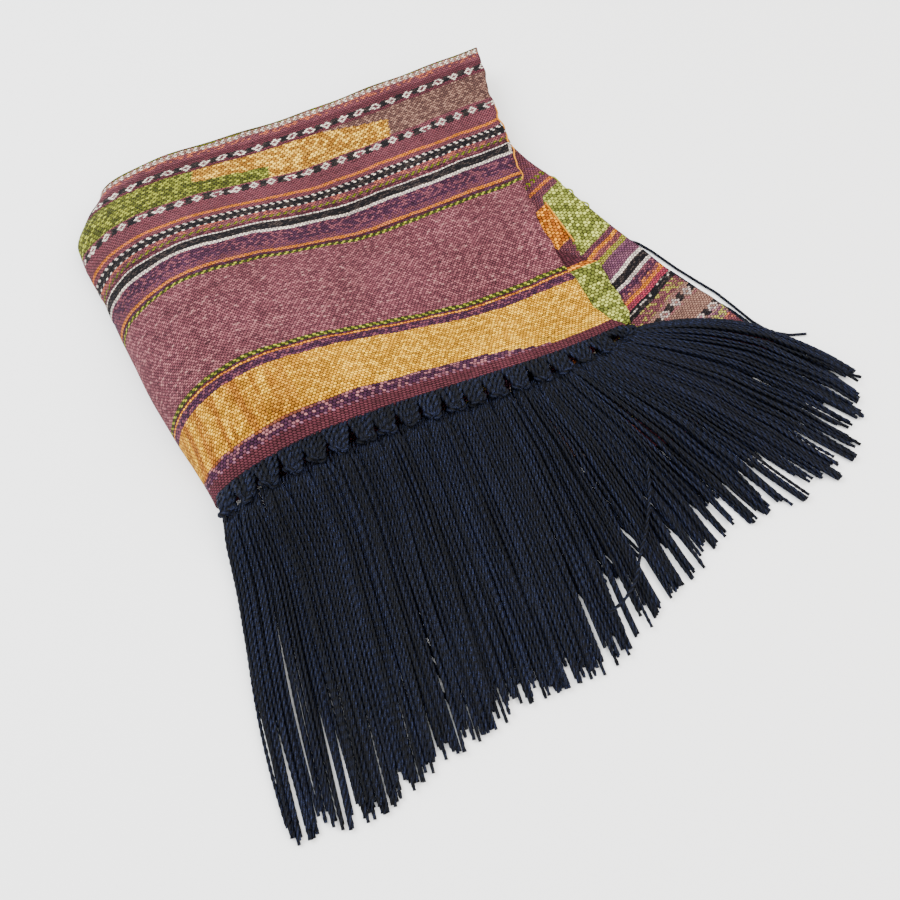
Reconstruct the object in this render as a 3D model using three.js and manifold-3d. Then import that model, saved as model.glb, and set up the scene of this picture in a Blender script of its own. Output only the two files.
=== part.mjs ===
// A handwoven flatweave runner folded on a surface: crosswise into four passes,
// then lengthwise in half around a soft roll, with the knotted fringe of one end in front.
import * as THREE from 'three';
import { mergeVertices } from 'three/addons/utils/BufferGeometryUtils.js';
import Module from 'manifold-3d';

const wasm = await Module();
wasm.setup();

// Millimetres. u runs right along the front hem, v runs back from it and z up.
const middle = { u: 177.2, v: 35.7 }; // centre of the footprint, which is the origin
const thickness = 2.2;
const pitch = 3.2; // from one layer to the next
const backFold = 258;
const innerBackFold = 246;
const frontFold = 96;
const nearHem = 4; // where the far end stops, just behind the front hem
const stackStart = 22; // from here the outer pass rises back to its full height
const frontReach = 52; // where the innermost pass starts to follow its own far end
const drawnIn = 2; // the outer pass of the under half, behind the one on it
const footRadius = 4.5;
const rollPower = 1.8; // 2 would be an ellipse
const underHemRise = 75; // the under half of the front hem runs back by this at its right

// The outer pass by its distance back: where the rise to the left roll starts, its crest and side.
const rollSections = [
  { v: 0, riseFrom: 250, crestU: 66, crestZ: 33, leftU: 0 },
  { v: 25, riseFrom: 235, crestU: 56, crestZ: 47, leftU: -2 },
  { v: 52, riseFrom: 216, crestU: 48, crestZ: 52, leftU: -6 },
  { v: 92, riseFrom: 190, crestU: 45, crestZ: 50, leftU: -10 },
  { v: 130, riseFrom: 168, crestU: 43, crestZ: 46, leftU: -12 },
  { v: 160, riseFrom: 160, crestU: 44, crestZ: 41, leftU: -12.5 },
  { v: 200, riseFrom: 150, crestU: 46, crestZ: 34, leftU: -15 },
  { v: 218, riseFrom: 145, crestU: 48, crestZ: 30.5, leftU: -15 },
  { v: 238, riseFrom: 140, crestU: 52, crestZ: 27, leftU: -4 },
  { v: 260, riseFrom: 130, crestU: 62, crestZ: 24.5, leftU: 12 },
];

// How far the back fold lies in front of a straight one.
const backDip = [
  { u: 0, dip: 0 },
  { u: 50, dip: 3 },
  { u: 150, dip: 5.5 },
  { u: 230, dip: 3 },
  { u: 300, dip: 0 },
];

// The folded cloth's edges at the right: the outer and the innermost pass of the upper half,
// and the under half that shows below them.
const selvedges = [
  { v: -90, upper: 270, inner: 272, under: 356 },
  { v: -45, upper: 270, inner: 272, under: 348.5 },
  { v: -28, upper: 270, inner: 272, under: 342 },
  { v: 0, upper: 270, inner: 275, under: 334.5 },
  { v: 12, upper: 263, inner: 280, under: 329 },
  { v: 25, upper: 260.5, inner: 280.5, under: 324 },
  { v: 50, upper: 259, inner: 282.5, under: 316 },
  { v: 64, upper: 257, inner: 270, under: 310.5 },
  { v: 86, upper: 257.5, inner: 254, under: 303 },
  { v: 100, upper: 260, inner: 257, under: 299.5 },
  { v: 128, upper: 266, inner: 263, under: 293 },
  { v: 156, upper: 273.5, inner: 270.5, under: 284.5 },
  { v: 205, upper: 284, inner: 281, under: 277 },
  { v: 240, upper: 295, inner: 292, under: 270 },
  { v: 260, upper: 300, inner: 297, under: 266 },
];

// The far end under the fringe, by the share of the way from the roll to the selvedge.
const farEnd = [
  { share: 0, v: nearHem },
  { share: 0.35, v: -32 },
  { share: 0.7, v: -80 },
  { share: 1, v: -50 },
];

// Where a cord that hangs from the upper hem at rootU passes half way, and where it ends.
const cordFan = [
  { rootU: 0, midU: -13, midV: -92, tipU: -25, tipV: -182 },
  { rootU: 40, midU: 27, midV: -94, tipU: 12, tipV: -189 },
  { rootU: 90, midU: 77, midV: -88, tipU: 62, tipV: -180 },
  { rootU: 140, midU: 129, midV: -87, tipU: 116, tipV: -175 },
  { rootU: 176, midU: 168, midV: -88, tipU: 156, tipV: -177 },
  { rootU: 200, midU: 205, midV: -82, tipU: 205, tipV: -161 },
  { rootU: 222, midU: 242, midV: -76, tipU: 257, tipV: -143 },
  { rootU: 242, midU: 280, midV: -69, tipU: 316, tipV: -142 },
  { rootU: 257.5, midU: 308, midV: -55, tipU: 356, tipV: -124 },
  { rootU: 270, midU: 328, midV: -38, tipU: 380, tipV: -86 },
];

// Rows of the passes, in distances back from the front hem.
const frontRows = [0, 12, 25, 38, 52, 64, 77, 92];
const sharedRows = [112, 136, 160, 184, 205, 222, 238];
const reachRows = [92, 77, 64, 52]; // of the innermost pass, down to frontReach
const foldSteps = 5;
const openRows = [0.2, 0.4, 0.6, 0.8, 1]; // shares of the way from frontReach to its end

// Shares of the way across each stretch of a layer.
const upperShares = [0, 0.15, 0.3, 0.44, 0.56, 0.67, 0.77, 0.86, 0.94, 1];
const rollSteps = 6;
const footSteps = 3;
const underShares = [0.06, 0.2, 0.36, 0.52, 0.68, 0.84, 1];

const lock = { width: 2.3, height: 2.1, upperCount: 75, underCount: 60, steps: 9, underSteps: 3 };
const strip = { gap: 0.3, width: 4.5, half: 1.3, root: 2.6, before: 0.03 };
const underCord = { length: 168, firstShare: 0.12, lastShare: 0.985 };
const underFan = [
  { share: 0.1, leanU: 0.22 },
  { share: 0.8, leanU: 0.25 },
  { share: 1, leanU: 0.36 },
];
const clearOfLayer = 0.6;
const margin = { cloth: 4, sides: 12, tips: 8 }; // around what a cord lies on
const hemEnds = { first: 4, last: 2 }; // from the roll's side and from the selvedge
const samples = 6; // of what lies under a cord, in each of its steps
const steepest = 0.5; // of a cord that comes down off an edge
const fanFrom = 196; // right of this the cords sweep sideways, every other one on top
const liftEnds = 0.7; // share of a cord's length by which it is down beside the others

const materials = {
  cloth: { color: 0x85525c, roughness: 0.92, metalness: 0 },
  cord: { color: 0x14182b, roughness: 0.62, metalness: 0 },
};

// Value of a column at x, on a curve through the rows that never overshoots them.
function track(rows, at, column, x) {
  const last = rows.length - 1;
  if (x <= rows[0][at]) return rows[0][column];
  if (x >= rows[last][at]) return rows[last][column];
  const i = rows.findIndex((row) => row[at] > x) - 1;
  const slope = (k) => (rows[k + 1][column] - rows[k][column]) / (rows[k + 1][at] - rows[k][at]);
  const bend = (k) => {
    if (k === 0 || k === last) return 0;
    const before = slope(k - 1);
    const after = slope(k);
    return before * after <= 0 ? 0 : (2 * before * after) / (before + after);
  };
  const span = rows[i + 1][at] - rows[i][at];
  const s = (x - rows[i][at]) / span;
  const start = rows[i][column];
  const rise = rows[i + 1][column] - start;
  const lean = bend(i) * span;
  const leave = bend(i + 1) * span;
  return start + s * (lean + s * (3 * rise - 2 * lean - leave + s * (lean + leave - 2 * rise)));
}

const smooth = (x) => {
  const s = Math.min(1, Math.max(0, x));
  return s * s * (3 - 2 * s);
};
const mix = (a, b, s) => a + (b - a) * s;
const range = (count) => [...Array(count).keys()];

// 0 in front, where three layers lie under the top one, and 1 where there are seven.
const fullStack = (v) => smooth((v - stackStart) / (frontFold - stackStart));

// A layer's cross-section. inset is how far in from the outer pass it lies, and off is
// measured inwards from the middle of the cloth. Each stretch has its own function.
function layer(v, inset, off) {
  const full = fullStack(v);
  const packed = (inset * (1 + 2 * full)) / 3;
  const crestU = track(rollSections, 'v', 'crestU', v);
  const crestZ = track(rollSections, 'v', 'crestZ', v) - inset - off;
  const leftU = track(rollSections, 'v', 'leftU', v) + inset + off;
  const riseFrom = track(rollSections, 'v', 'riseFrom', v);
  const rightZ = thickness / 2 + pitch * (3 + 4 * full) - packed - off;
  const lowZ = thickness / 2 + packed + off;
  const innermost = inset / (3 * pitch);
  const edge = (column) => track(selvedges, 'v', column, v);
  const upperEdge = mix(edge('upper'), edge('inner'), innermost);
  const underEdge = edge('under') - drawnIn * (1 - innermost);
  const radius = footRadius - off;
  const footU = leftU + radius;
  const footZ = lowZ + radius;
  return {
    upper(share) {
      const u = mix(upperEdge, crestU, share);
      return [u, mix(rightZ, crestZ, smooth((riseFrom - u) / (riseFrom - crestU)))];
    },
    roll(share) {
      const turn = (share * Math.PI) / 2;
      const across = Math.sin(turn) ** (2 / rollPower);
      const up = Math.max(0, Math.cos(turn)) ** (2 / rollPower);
      return [mix(crestU, leftU, across), mix(footZ, crestZ, up)];
    },
    foot(share) {
      const turn = (share * Math.PI) / 2;
      return [footU - radius * Math.cos(turn), footZ - radius * Math.sin(turn)];
    },
    under(share) {
      return [mix(footU, underEdge, share), lowZ];
    },
  };
}

// The columns run from the upper selvedge over the roll to the under one.
const steps = (count) => range(count).map((i) => (i + 1) / count);
const columns = [
  ...upperShares.map((share) => ({ stretch: 'upper', share })),
  ...steps(rollSteps).map((share) => ({ stretch: 'roll', share })),
  ...steps(footSteps).map((share) => ({ stretch: 'foot', share })),
  ...underShares.map((share) => ({ stretch: 'under', share })),
];
const underShare = (column) => (column.stretch === 'under' ? column.share : 0);
const startOf = (column) => underHemRise * underShare(column);
const endOf = (column) => track(farEnd, 'share', 'v', underShare(column));

function place(column, v, inset, off) {
  const [u, z] = layer(v, inset, off)[column.stretch](column.share);
  const dip = track(backDip, 'u', 'dip', u) * smooth((v - frontFold) / (backFold - frontFold));
  return [u - middle.u, v - dip - middle.v, Math.max(0, z)];
}

// The folding path: each row gives v, the inset and the way that the cloth's face points.
function foldingRows() {
  const rows = [];
  const flat = (where, inset, face) => rows.push({ where, inset, face, along: 0 });
  const fold = (at, inset, away) => {
    for (let i = 1; i < foldSteps; i += 1) {
      const turn = (i / foldSteps) * Math.PI;
      rows.push({
        where: () => at + (away * pitch * Math.sin(turn)) / 2,
        inset: inset + (pitch * (1 - Math.cos(turn))) / 2,
        face: -away * Math.cos(turn),
        along: Math.sin(turn),
      });
    }
  };
  const back = [...sharedRows].reverse();
  for (const v of [...frontRows, ...sharedRows, backFold]) {
    flat((column) => mix(startOf(column), backFold, v / backFold), 0, -1);
  }
  fold(backFold, 0, 1);
  for (const v of [backFold, ...back, frontFold]) flat(() => v, pitch, 1);
  fold(frontFold, pitch, -1);
  for (const v of [frontFold, ...sharedRows, innerBackFold]) flat(() => v, 2 * pitch, -1);
  fold(innerBackFold, 2 * pitch, 1);
  for (const v of [innerBackFold, ...back, ...reachRows]) flat(() => v, 3 * pitch, 1);
  for (const s of openRows) flat((column) => mix(frontReach, endOf(column), s), 3 * pitch, 1);
  return rows;
}

// Both faces of the sheet, joined round its edges into one closed body.
function clothGeometry() {
  const rows = foldingRows();
  const count = columns.length;
  const points = [];
  for (const side of [1, -1]) {
    for (const row of rows) {
      for (const column of columns) {
        const shift = (side * thickness) / 2;
        const v = row.where(column) + shift * row.along;
        points.push(...place(column, v, row.inset, shift * row.face));
      }
    }
  }
  const at = (side, i, j) => side * rows.length * count + i * count + j;
  const faces = [];
  const quad = (a, b, c, d) => faces.push(a, b, c, a, c, d);
  for (let i = 0; i + 1 < rows.length; i += 1) {
    for (let j = 0; j + 1 < count; j += 1) {
      quad(at(0, i, j), at(0, i + 1, j), at(0, i + 1, j + 1), at(0, i, j + 1));
      quad(at(1, i, j), at(1, i, j + 1), at(1, i + 1, j + 1), at(1, i + 1, j));
    }
    quad(at(0, i, 0), at(1, i, 0), at(1, i + 1, 0), at(0, i + 1, 0));
    const j = count - 1;
    quad(at(0, i, j), at(0, i + 1, j), at(1, i + 1, j), at(1, i, j));
  }
  for (let j = 0; j + 1 < count; j += 1) {
    quad(at(0, 0, j), at(0, 0, j + 1), at(1, 0, j + 1), at(1, 0, j));
    const i = rows.length - 1;
    quad(at(0, i, j), at(1, i, j), at(1, i, j + 1), at(0, i, j + 1));
  }
  return indexed(points, faces);
}

function indexed(points, faces) {
  const geometry = new THREE.BufferGeometry();
  geometry.setAttribute('position', new THREE.Float32BufferAttribute(points, 3));
  geometry.setIndex(faces);
  return geometry;
}

// A closed bar through a list of sections, each a ring of the same number of points.
function bar(rings) {
  const sides = rings[0].length;
  const faces = [];
  for (let i = 0; i + 1 < rings.length; i += 1) {
    for (let j = 0; j < sides; j += 1) {
      const k = (j + 1) % sides;
      const base = i * sides;
      faces.push(base + j, base + k, base + sides + k, base + j, base + sides + k, base + sides + j);
    }
  }
  const end = (rings.length - 1) * sides;
  for (let j = 1; j + 1 < sides; j += 1) {
    faces.push(0, j + 1, j, end, end + j, end + j + 1);
  }
  return indexed(rings.flat(2), faces);
}

// A lock of cords: three-sided, flat side down, through points that give its underside.
function lockGeometry(points) {
  const rings = points.map((point, i) => {
    const before = points[Math.max(0, i - 1)];
    const after = points[Math.min(points.length - 1, i + 1)];
    const length = Math.hypot(after[0] - before[0], after[1] - before[1]);
    const du = ((after[1] - before[1]) / length) * (lock.width / 2);
    const dv = (-(after[0] - before[0]) / length) * (lock.width / 2);
    const [u, v, z] = point;
    return [
      [u - du - middle.u, v - dv - middle.v, z],
      [u - middle.u, v - middle.v, z + lock.height],
      [u + du - middle.u, v + dv - middle.v, z],
    ];
  });
  return bar(rings);
}

// What a cord of the upper hem lies on at a place in plan.
function supportUnder(u, v) {
  const far = layer(v, 3 * pitch, 0);
  const [leftU] = far.under(0);
  const [rightU, lowZ] = far.under(1);
  const share = (u - leftU) / (rightU - leftU);
  const overCloth = u < rightU + margin.cloth && v > track(farEnd, 'share', 'v', share) - margin.cloth;
  if (share > 0 && overCloth) return lowZ + thickness / 2 + clearOfLayer;
  const first = underPath(0);
  const last = underPath(lock.underCount - 1);
  const down = (underHemRise * underCord.firstShare - v) / underCord.length;
  const firstU = mix(first[0][0], first[lock.underSteps][0], down);
  const [firstTip, lastTip] = [first[lock.underSteps], last[lock.underSteps]];
  const tipV = mix(firstTip[1], lastTip[1], (u - firstTip[0]) / (lastTip[0] - firstTip[0]));
  return u > firstU - margin.sides && v > tipV - margin.tips ? lock.height + clearOfLayer : 0;
}

// A cord's way from the hem to its tip, on what is under it and never steeper than it would fall.
function upperPath(index) {
  const lastRoot = track(selvedges, 'v', 'upper', 0) - hemEnds.last;
  const rootU = mix(hemEnds.first, lastRoot, index / (lock.upperCount - 1));
  const fan = (column) => track(cordFan, 'rootU', column, rootU);
  const [tipU, tipV] = [fan('tipU'), fan('tipV')];
  const pullU = 2 * fan('midU') - (rootU + tipU) / 2;
  const pullV = 2 * fan('midV') - (tipV - strip.root) / 2;
  const plan = (s) => [
    mix(mix(rootU, pullU, s), mix(pullU, tipU, s), s),
    mix(mix(-strip.root, pullV, s), mix(pullV, tipV, s), s),
  ];
  const support = range(lock.steps * samples + 1).map((i) => {
    const [u, v] = plan(i / samples / lock.steps);
    return Math.max(supportUnder(u - lock.width, v), supportUnder(u + lock.width, v));
  });
  const path = [];
  for (let i = 0; i <= lock.steps; i += 1) {
    const near = support.slice(Math.max(0, (i - 1) * samples), (i + 1) * samples + 1);
    path.push([...plan(i / lock.steps), Math.max(...near)]);
  }
  path[0][2] = hemHeight(rootU) - lock.height / 2;
  const fallen = (i, j) => {
    const run = Math.hypot(path[i][0] - path[j][0], path[i][1] - path[j][1]);
    return path[j][2] - steepest * run;
  };
  for (let i = 1; i <= lock.steps; i += 1) path[i][2] = Math.max(path[i][2], fallen(i, i - 1));
  for (let i = lock.steps - 1; i > 0; i -= 1) path[i][2] = Math.max(path[i][2], fallen(i, i + 1));
  const lift = rootU > fanFrom && index % 2 ? lock.height + clearOfLayer : 0;
  for (let i = 1; i < lock.steps; i += 1) path[i][2] += lift * (1 - smooth(i / lock.steps / liftEnds));
  return path;
}

// Height of the hem's middle where it passes over u.
function hemHeight(u) {
  const hem = layer(0, 0, 0);
  const line = [...upperShares.map(hem.upper), ...steps(rollSteps).map(hem.roll)];
  const i = Math.max(1, line.findIndex(([lineU]) => lineU <= u));
  const [beforeU, beforeZ] = line[i - 1];
  const [afterU, afterZ] = line[i];
  return mix(beforeZ, afterZ, (beforeU - u) / (beforeU - afterU));
}

// The knotted heads as one narrow strip along the hem, just clear of the cloth's edge.
function upperStrip() {
  const places = columns.filter((column) => column.stretch === 'upper' || column.stretch === 'roll');
  return bar(
    places.map((column) => {
      const near = -strip.gap;
      const far = near - strip.width;
      return [
        place(column, 0, 0, -strip.half),
        place(column, 0, 0, strip.half),
        place(column, 0, 0, strip.half),
        place(column, 0, 0, -strip.half),
      ].map(([x, , z], k) => [x, (k < 2 ? near : far) - middle.v, z]);
    }),
  );
}

function underLine(share) {
  const [u] = layer(underHemRise * share, 0, 0).under(share);
  return [u, underHemRise * share];
}

function underStrip() {
  const shares = [underCord.firstShare - strip.before, ...underShares.slice(1)];
  return bar(
    shares.map((share) => {
      const [u, v] = underLine(share);
      const near = v - strip.gap - middle.v;
      const far = near - strip.width;
      const x = u - middle.u;
      return [[x, near, 0], [x, near, lock.height], [x, far, lock.height], [x, far, 0]];
    }),
  );
}

function underPath(index) {
  const share = mix(underCord.firstShare, underCord.lastShare, index / (lock.underCount - 1));
  const [u, v] = underLine(share);
  const lean = track(underFan, 'share', 'leanU', share);
  const down = Math.sqrt(1 - lean * lean);
  return range(lock.underSteps + 1).map((i) => {
    const run = (underCord.length * i) / lock.underSteps;
    return [u + lean * run, v - strip.root - down * run, 0];
  });
}

// Joins closed bodies into one.
function joined(geometries) {
  const whole = geometries
    .map((geometry) => {
      const merged = mergeVertices(geometry);
      return new wasm.Manifold(
        new wasm.Mesh({
          numProp: 3,
          vertProperties: merged.attributes.position.array,
          triVerts: new Uint32Array(merged.index.array),
        }),
      );
    })
    .reduce((sum, body) => sum.add(body));
  const mesh = whole.getMesh();
  return indexed(mesh.vertProperties, Array.from(mesh.triVerts));
}

function named(name, geometry, look) {
  const mesh = new THREE.Mesh(geometry, new THREE.MeshStandardMaterial(look));
  mesh.name = name;
  return mesh;
}

const upperLocks = range(lock.upperCount).map((i) => lockGeometry(upperPath(i)));
const underLocks = range(lock.underCount).map((i) => lockGeometry(underPath(i)));

const runner = new THREE.Group();
runner.add(named('runner_cloth', clothGeometry(), materials.cloth));
runner.add(named('fringe_upper', joined([upperStrip(), ...upperLocks]), materials.cord));
runner.add(named('fringe_under', joined([underStrip(), ...underLocks]), materials.cord));

export default runner;
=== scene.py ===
import bpy
import math
import numpy as np
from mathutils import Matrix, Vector


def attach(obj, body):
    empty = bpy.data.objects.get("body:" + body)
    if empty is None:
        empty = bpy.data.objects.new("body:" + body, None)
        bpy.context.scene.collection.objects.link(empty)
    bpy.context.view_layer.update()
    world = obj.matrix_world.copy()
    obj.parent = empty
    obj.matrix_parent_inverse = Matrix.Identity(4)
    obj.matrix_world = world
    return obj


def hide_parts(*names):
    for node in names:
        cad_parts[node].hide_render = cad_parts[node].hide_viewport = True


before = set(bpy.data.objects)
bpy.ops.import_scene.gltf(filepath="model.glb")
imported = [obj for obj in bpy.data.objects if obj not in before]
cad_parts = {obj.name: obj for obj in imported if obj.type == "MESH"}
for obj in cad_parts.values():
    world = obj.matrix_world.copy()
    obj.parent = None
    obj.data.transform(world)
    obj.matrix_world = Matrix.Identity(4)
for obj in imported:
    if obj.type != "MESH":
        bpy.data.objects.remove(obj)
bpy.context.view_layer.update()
random = np.random.default_rng(11)
mm = 0.001
root = "root"

# u runs right along the front hem, v back from it and z up, in millimetres.
# The object's origin is the middle of its footprint.
middleU, middleV = 177.2, 35.7

print("stage: camera and floor")
cameraSetup = {
    "standAt": (2.2, -286.7, 511.0),
    "tiltDown": 60.0,
    "turn": -26.84,
    "lens": 40.0,
    "sensor": 36.0,
}


def toMetres(points):
    return (np.asarray(points) - np.array([middleU, middleV, 0])) * mm


def placed(name, data):
    thing = bpy.data.objects.new(name, data)
    bpy.context.scene.collection.objects.link(thing)
    return thing


def makeCamera(setup):
    data = bpy.data.cameras.new("camera")
    data.lens = setup["lens"]
    data.sensor_width = setup["sensor"]
    camera = placed("camera", data)
    camera.location = toMetres(setup["standAt"])
    camera.rotation_euler = (
        math.radians(90 - setup["tiltDown"]), 0, math.radians(setup["turn"]))
    bpy.context.scene.camera = camera


makeCamera(cameraSetup)


def linear(red, green, blue):
    def one(c):
        c = c / 255
        return c / 12.92 if c <= 0.04045 else ((c + 0.055) / 1.055) ** 2.4
    return (one(red), one(green), one(blue), 1)


# Node helpers

def addNode(tree, kind, **settings):
    node = tree.nodes.new(kind)
    for name, value in settings.items():
        setattr(node, name, value)
    return node


def plug(tree, socket, value):
    if isinstance(value, bpy.types.NodeSocket):
        tree.links.new(value, socket)
    elif value is not None:
        socket.default_value = value


# A node with its inputs linked or set, by name or number
def wired(tree, kind, inputs, **settings):
    node = addNode(tree, kind, **settings)
    for name, value in inputs.items():
        plug(tree, node.inputs[name], value)
    return node


def calc(tree, operation, *values, clamp=False):
    node = addNode(tree, "ShaderNodeMath", operation=operation, use_clamp=clamp)
    for socket, value in zip(node.inputs, values):
        plug(tree, socket, value)
    return node.outputs[0]


def blendColour(tree, factor, first, second, how="MIX"):
    return wired(tree, "ShaderNodeMix", {0: factor, 6: first, 7: second},
                 data_type="RGBA", blend_type=how).outputs[2]


def blendValue(tree, factor, first, second):
    return wired(tree, "ShaderNodeMix", {0: factor, 2: first, 3: second},
                 data_type="FLOAT").outputs[0]


# Rises smoothly from 0 at low to top at high
def between(tree, value, low, high, top=1.0):
    node = wired(tree, "ShaderNodeMapRange", {0: value, 1: low, 2: high},
                 interpolation_type="SMOOTHSTEP")
    return calc(tree, "MULTIPLY", node.outputs[0], top)


def inside(tree, value, low, high):
    above = calc(tree, "GREATER_THAN", value, low)
    return calc(tree, "MULTIPLY", above, calc(tree, "LESS_THAN", value, high))


def times(tree, first, *others):
    for other in others:
        first = calc(tree, "MULTIPLY", first, other)
    return first


def attribute(tree, name):
    return addNode(tree, "ShaderNodeAttribute", attribute_type="GEOMETRY",
                   attribute_name=name).outputs


def noiseAt(tree, vector, scale, detail=2.0, rough=0.5):
    return wired(tree, "ShaderNodeTexNoise",
                 {"Vector": vector, "Scale": scale, "Detail": detail, "Roughness": rough}
                 ).outputs["Fac"]


def newMaterial(name):
    material = bpy.data.materials.new(name)
    material.use_nodes = True
    shader = material.node_tree.nodes["Principled BSDF"]
    return material, material.node_tree, shader


def dress(tree, shader, colour, roughness, specular=None):
    plug(tree, shader.inputs["Base Color"], colour)
    plug(tree, shader.inputs["Roughness"], roughness)
    plug(tree, shader.inputs["Specular IOR Level"], specular)


def addBump(tree, shader, height, strength, distance):
    bump = wired(tree, "ShaderNodeBump",
                 {"Strength": strength, "Distance": distance, "Height": height})
    plug(tree, shader.inputs["Normal"], bump.outputs[0])


# Floor and light

floorSetup = {"size": 6.0, "colour": (246, 246, 246)}


def makeFloor(setup):
    half = setup["size"] / 2
    mesh = bpy.data.meshes.new("floor")
    corners = [(-half, -half, 0), (half, -half, 0), (half, half, 0), (-half, half, 0)]
    mesh.from_pydata(corners, [], [(0, 1, 2, 3)])
    floor = placed("floor", mesh)
    material, tree, shader = newMaterial("paleFloor")
    dress(tree, shader, linear(*setup["colour"]), 0.6)
    mesh.materials.append(material)


makeFloor(floorSetup)

lightSetup = [
    {"name": "window", "at": (-0.75, 0.55, 1.15), "size": 0.9, "power": 28,
     "colour": (0.93, 0.97, 1.0)},
    {"name": "room", "at": (0.9, -0.5, 1.3), "size": 1.4, "power": 31,
     "colour": (1.0, 0.95, 0.88)},
]


def makeLight(setup):
    data = bpy.data.lights.new(setup["name"], "AREA")
    data.energy = setup["power"]
    data.size = setup["size"]
    data.color = setup["colour"]
    light = placed(setup["name"], data)
    light.location = setup["at"]
    light.rotation_euler = (-Vector(setup["at"])).to_track_quat("-Z", "Y").to_euler()


for setup in lightSetup:
    makeLight(setup)

world = bpy.data.worlds.new("studio")
world.use_nodes = True
sky = world.node_tree.nodes["Background"].inputs
sky["Color"].default_value = (1, 1, 1, 1)
sky["Strength"].default_value = 2.25
bpy.context.scene.world = world

print("stage: the folded cloth")
clothShape = {
    "thickness": 2.2,
    "pitch": 3.2,
    "backFold": 258,
    "innerBackFold": 246,
    "frontFold": 96,
    "stackStart": 22,
    "frontReach": 52,
    "footRadius": 4.5,
    "rollPower": 1.8,
    "underHemRise": 75,
    "drawnIn": 2,
}

rollSections = {
    "v": (0, 25, 52, 92, 130, 160, 200, 218, 238, 260),
    "riseFrom": (250, 235, 216, 190, 168, 160, 150, 145, 140, 130),
    "crestU": (66, 56, 48, 45, 43, 44, 46, 48, 52, 62),
    "crestZ": (33, 47, 52, 50, 46, 41, 34, 30.5, 27, 24.5),
    "leftU": (0, -2, -6, -10, -12, -12.5, -15, -15, -4, 12),
}
backDip = {"u": (0, 50, 150, 230, 300), "dip": (0, 3, 5.5, 3, 0)}
selvedges = {
    "v": (-90, -45, -28, 0, 12, 25, 50, 64, 86, 100, 128, 156, 205, 240, 260),
    "upper": (270, 270, 270, 270, 263, 260.5, 259, 257, 257.5, 260, 266, 273.5, 284, 295, 300),
    "inner": (272, 272, 272, 275, 280, 280.5, 282.5, 270, 254, 257, 263, 270.5, 281, 292, 297),
    "under": (356, 348.5, 342, 334.5, 329, 324, 316, 310.5, 303, 299.5, 293, 284.5, 277, 270, 266),
}
farEnd = {"share": (0, 0.35, 0.7, 1), "v": (4, -32, -80, -50)}

# How the woven surface stands proud and ripples over the plain folds: each band's first
# and last place from the hem, and its height
clothRelief = {
    "ripple": 0.5,
    "selvedgeWander": 0.6,
    "backWander": 0.8,
    "bands": ((152, 163.5, 0.45), (172, 180, 0.25), (196, 208, 0.3), (208, 233, 0.25),
              (234, 244, 0.3)),
}


def mix(a, b, s):
    return a + (b - a) * s


def smooth(x):
    s = np.clip(x, 0, 1)
    return s * s * (3 - 2 * s)


# Value at x on a curve through a table's rows that never overshoots them
def track(rows, at, column, x):
    places = np.array(rows[at], float)
    values = np.array(rows[column], float)
    gaps = np.diff(places)
    slopes = np.diff(values) / gaps
    bends = np.zeros(len(places))
    same = slopes[:-1] * slopes[1:] > 0
    before, after = slopes[:-1][same], slopes[1:][same]
    bends[1:-1][same] = 2 * before * after / (before + after)
    x = np.clip(np.asarray(x, float), places[0], places[-1])
    i = np.clip(np.searchsorted(places, x, side="right") - 1, 0, len(gaps) - 1)
    s = (x - places[i]) / gaps[i]
    rise = values[i + 1] - values[i]
    lean, leave = bends[i] * gaps[i], bends[i + 1] * gaps[i]
    bow = s * (lean + leave - 2 * rise)
    return values[i] + s * (lean + s * (3 * rise - 2 * lean - leave + bow))


# A layer's cross-section: inset is how far in from the outer pass it lies, and off is
# measured inwards from the middle of the cloth
def sectionPoint(stretch, share, v, inset, off):
    shape = clothShape
    pitch, half = shape["pitch"], shape["thickness"] / 2
    full = smooth((v - shape["stackStart"]) / (shape["frontFold"] - shape["stackStart"]))
    packed = inset * (1 + 2 * full) / 3
    crestU = track(rollSections, "v", "crestU", v)
    crestZ = track(rollSections, "v", "crestZ", v) - inset - off
    leftU = track(rollSections, "v", "leftU", v) + inset + off
    lowZ = half + packed + off
    radius = shape["footRadius"] - off
    innermost = inset / (3 * pitch)
    if stretch == "upper":
        riseFrom = track(rollSections, "v", "riseFrom", v)
        rightZ = half + pitch * (3 + 4 * full) - packed - off
        edge = mix(track(selvedges, "v", "upper", v), track(selvedges, "v", "inner", v), innermost)
        u = mix(edge, crestU, share)
        return u, mix(rightZ, crestZ, smooth((riseFrom - u) / (riseFrom - crestU)))
    turn = share * math.pi / 2
    if stretch == "roll":
        across = math.sin(turn) ** (2 / shape["rollPower"])
        up = max(0.0, math.cos(turn)) ** (2 / shape["rollPower"])
        return mix(crestU, leftU, across), mix(lowZ + radius, crestZ, up)
    if stretch == "foot":
        return leftU + radius * (1 - math.cos(turn)), lowZ + radius * (1 - math.sin(turn))
    edge = track(selvedges, "v", "under", v) - shape["drawnIn"] * (1 - innermost)
    return mix(leftU + radius, edge, share), lowZ + 0 * v


# How finely the cloth is meshed: steps along it in millimetres, and columns across it. The
# under half is coarser up to hiddenShare of its width, where other passes hide it.
clothMesh = {
    "fineStep": 2.5,
    "coarseStep": 14,
    "foldSteps": 8,
    "fineFrom": 160,
    "upperColumns": 86,
    "rollColumns": 29,
    "footShares": (0.34, 0.67, 1.0),
    "hiddenShare": 0.72,
    "hiddenColumns": 13,
    "shownColumns": 35,
}


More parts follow.
